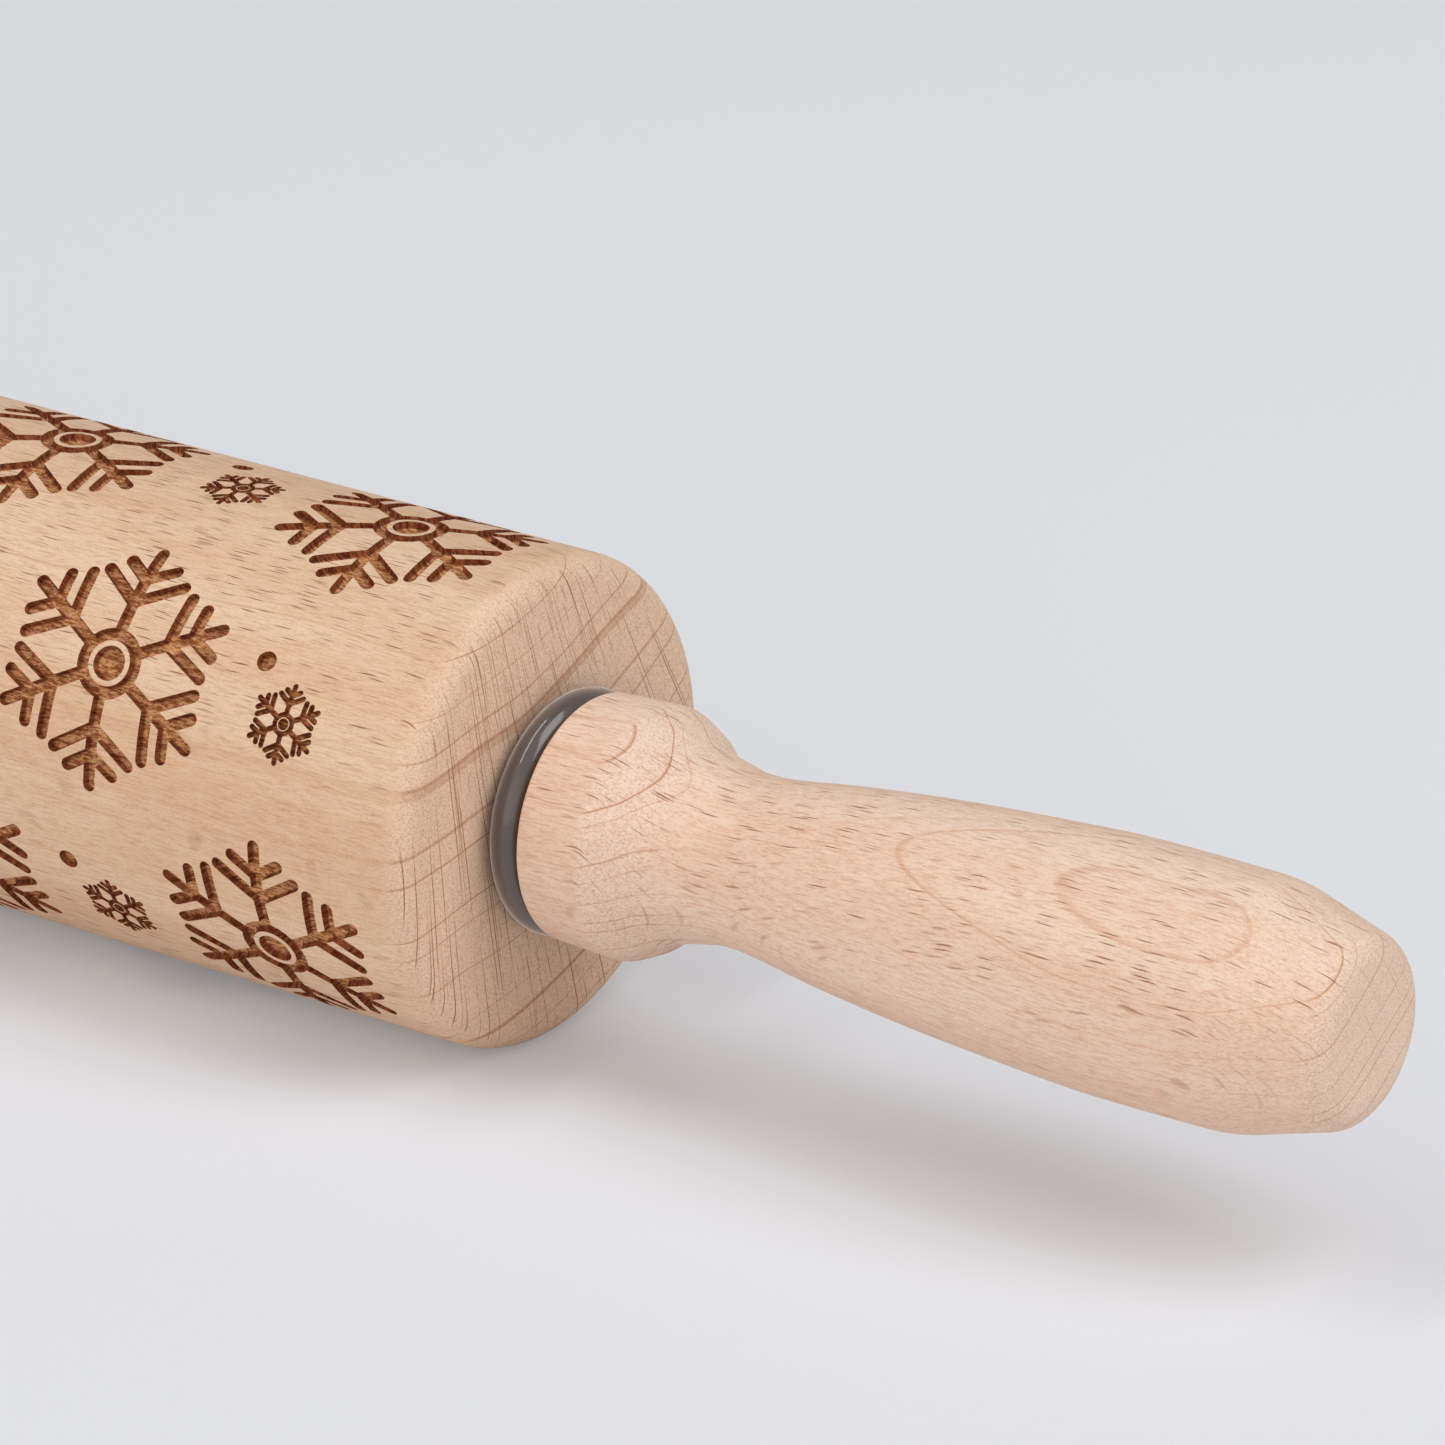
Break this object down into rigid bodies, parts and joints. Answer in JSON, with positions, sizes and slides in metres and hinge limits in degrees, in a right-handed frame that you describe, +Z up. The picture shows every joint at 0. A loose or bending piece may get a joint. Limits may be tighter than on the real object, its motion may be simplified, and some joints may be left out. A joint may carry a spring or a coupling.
{
  "type": "rolling pin",
  "caption": "Wooden embossing rolling pin: an engraved roller that turns freely on an axle held between two turned handles.",
  "frame": {"origin": "centre of the roller, on the axle's axis", "axes": "+X along the pin towards handle_right, +Z up as the pin lies on a table, +Y away from a cook who stands on the -Y side"},
  "size_m": [0.432, 0.055, 0.055],
  "materials": {
    "roller_wood": "fine-sanded bare beech, engraved with burnt grooves",
    "handle_wood": "fine-sanded bare beech, a little pinker than the roller",
    "bush_polymer": "satin warm-grey moulded polymer",
    "axle_steel": "drawn bright steel rod"
  },
  "bodies": {
    "handles": {"axle": "axle_steel", "handle_left": "handle_wood", "handle_right": "handle_wood"},
    "roller": {"roller": "roller_wood", "bush_left": "bush_polymer", "bush_right": "bush_polymer"}
  },
  "joints": [
    {"name": "roller_spin", "type": "hinge", "parent": "handles", "child": "roller", "pos_m": [0, 0, 0], "axis": [1, 0, 0], "continuous": true}
  ]
}
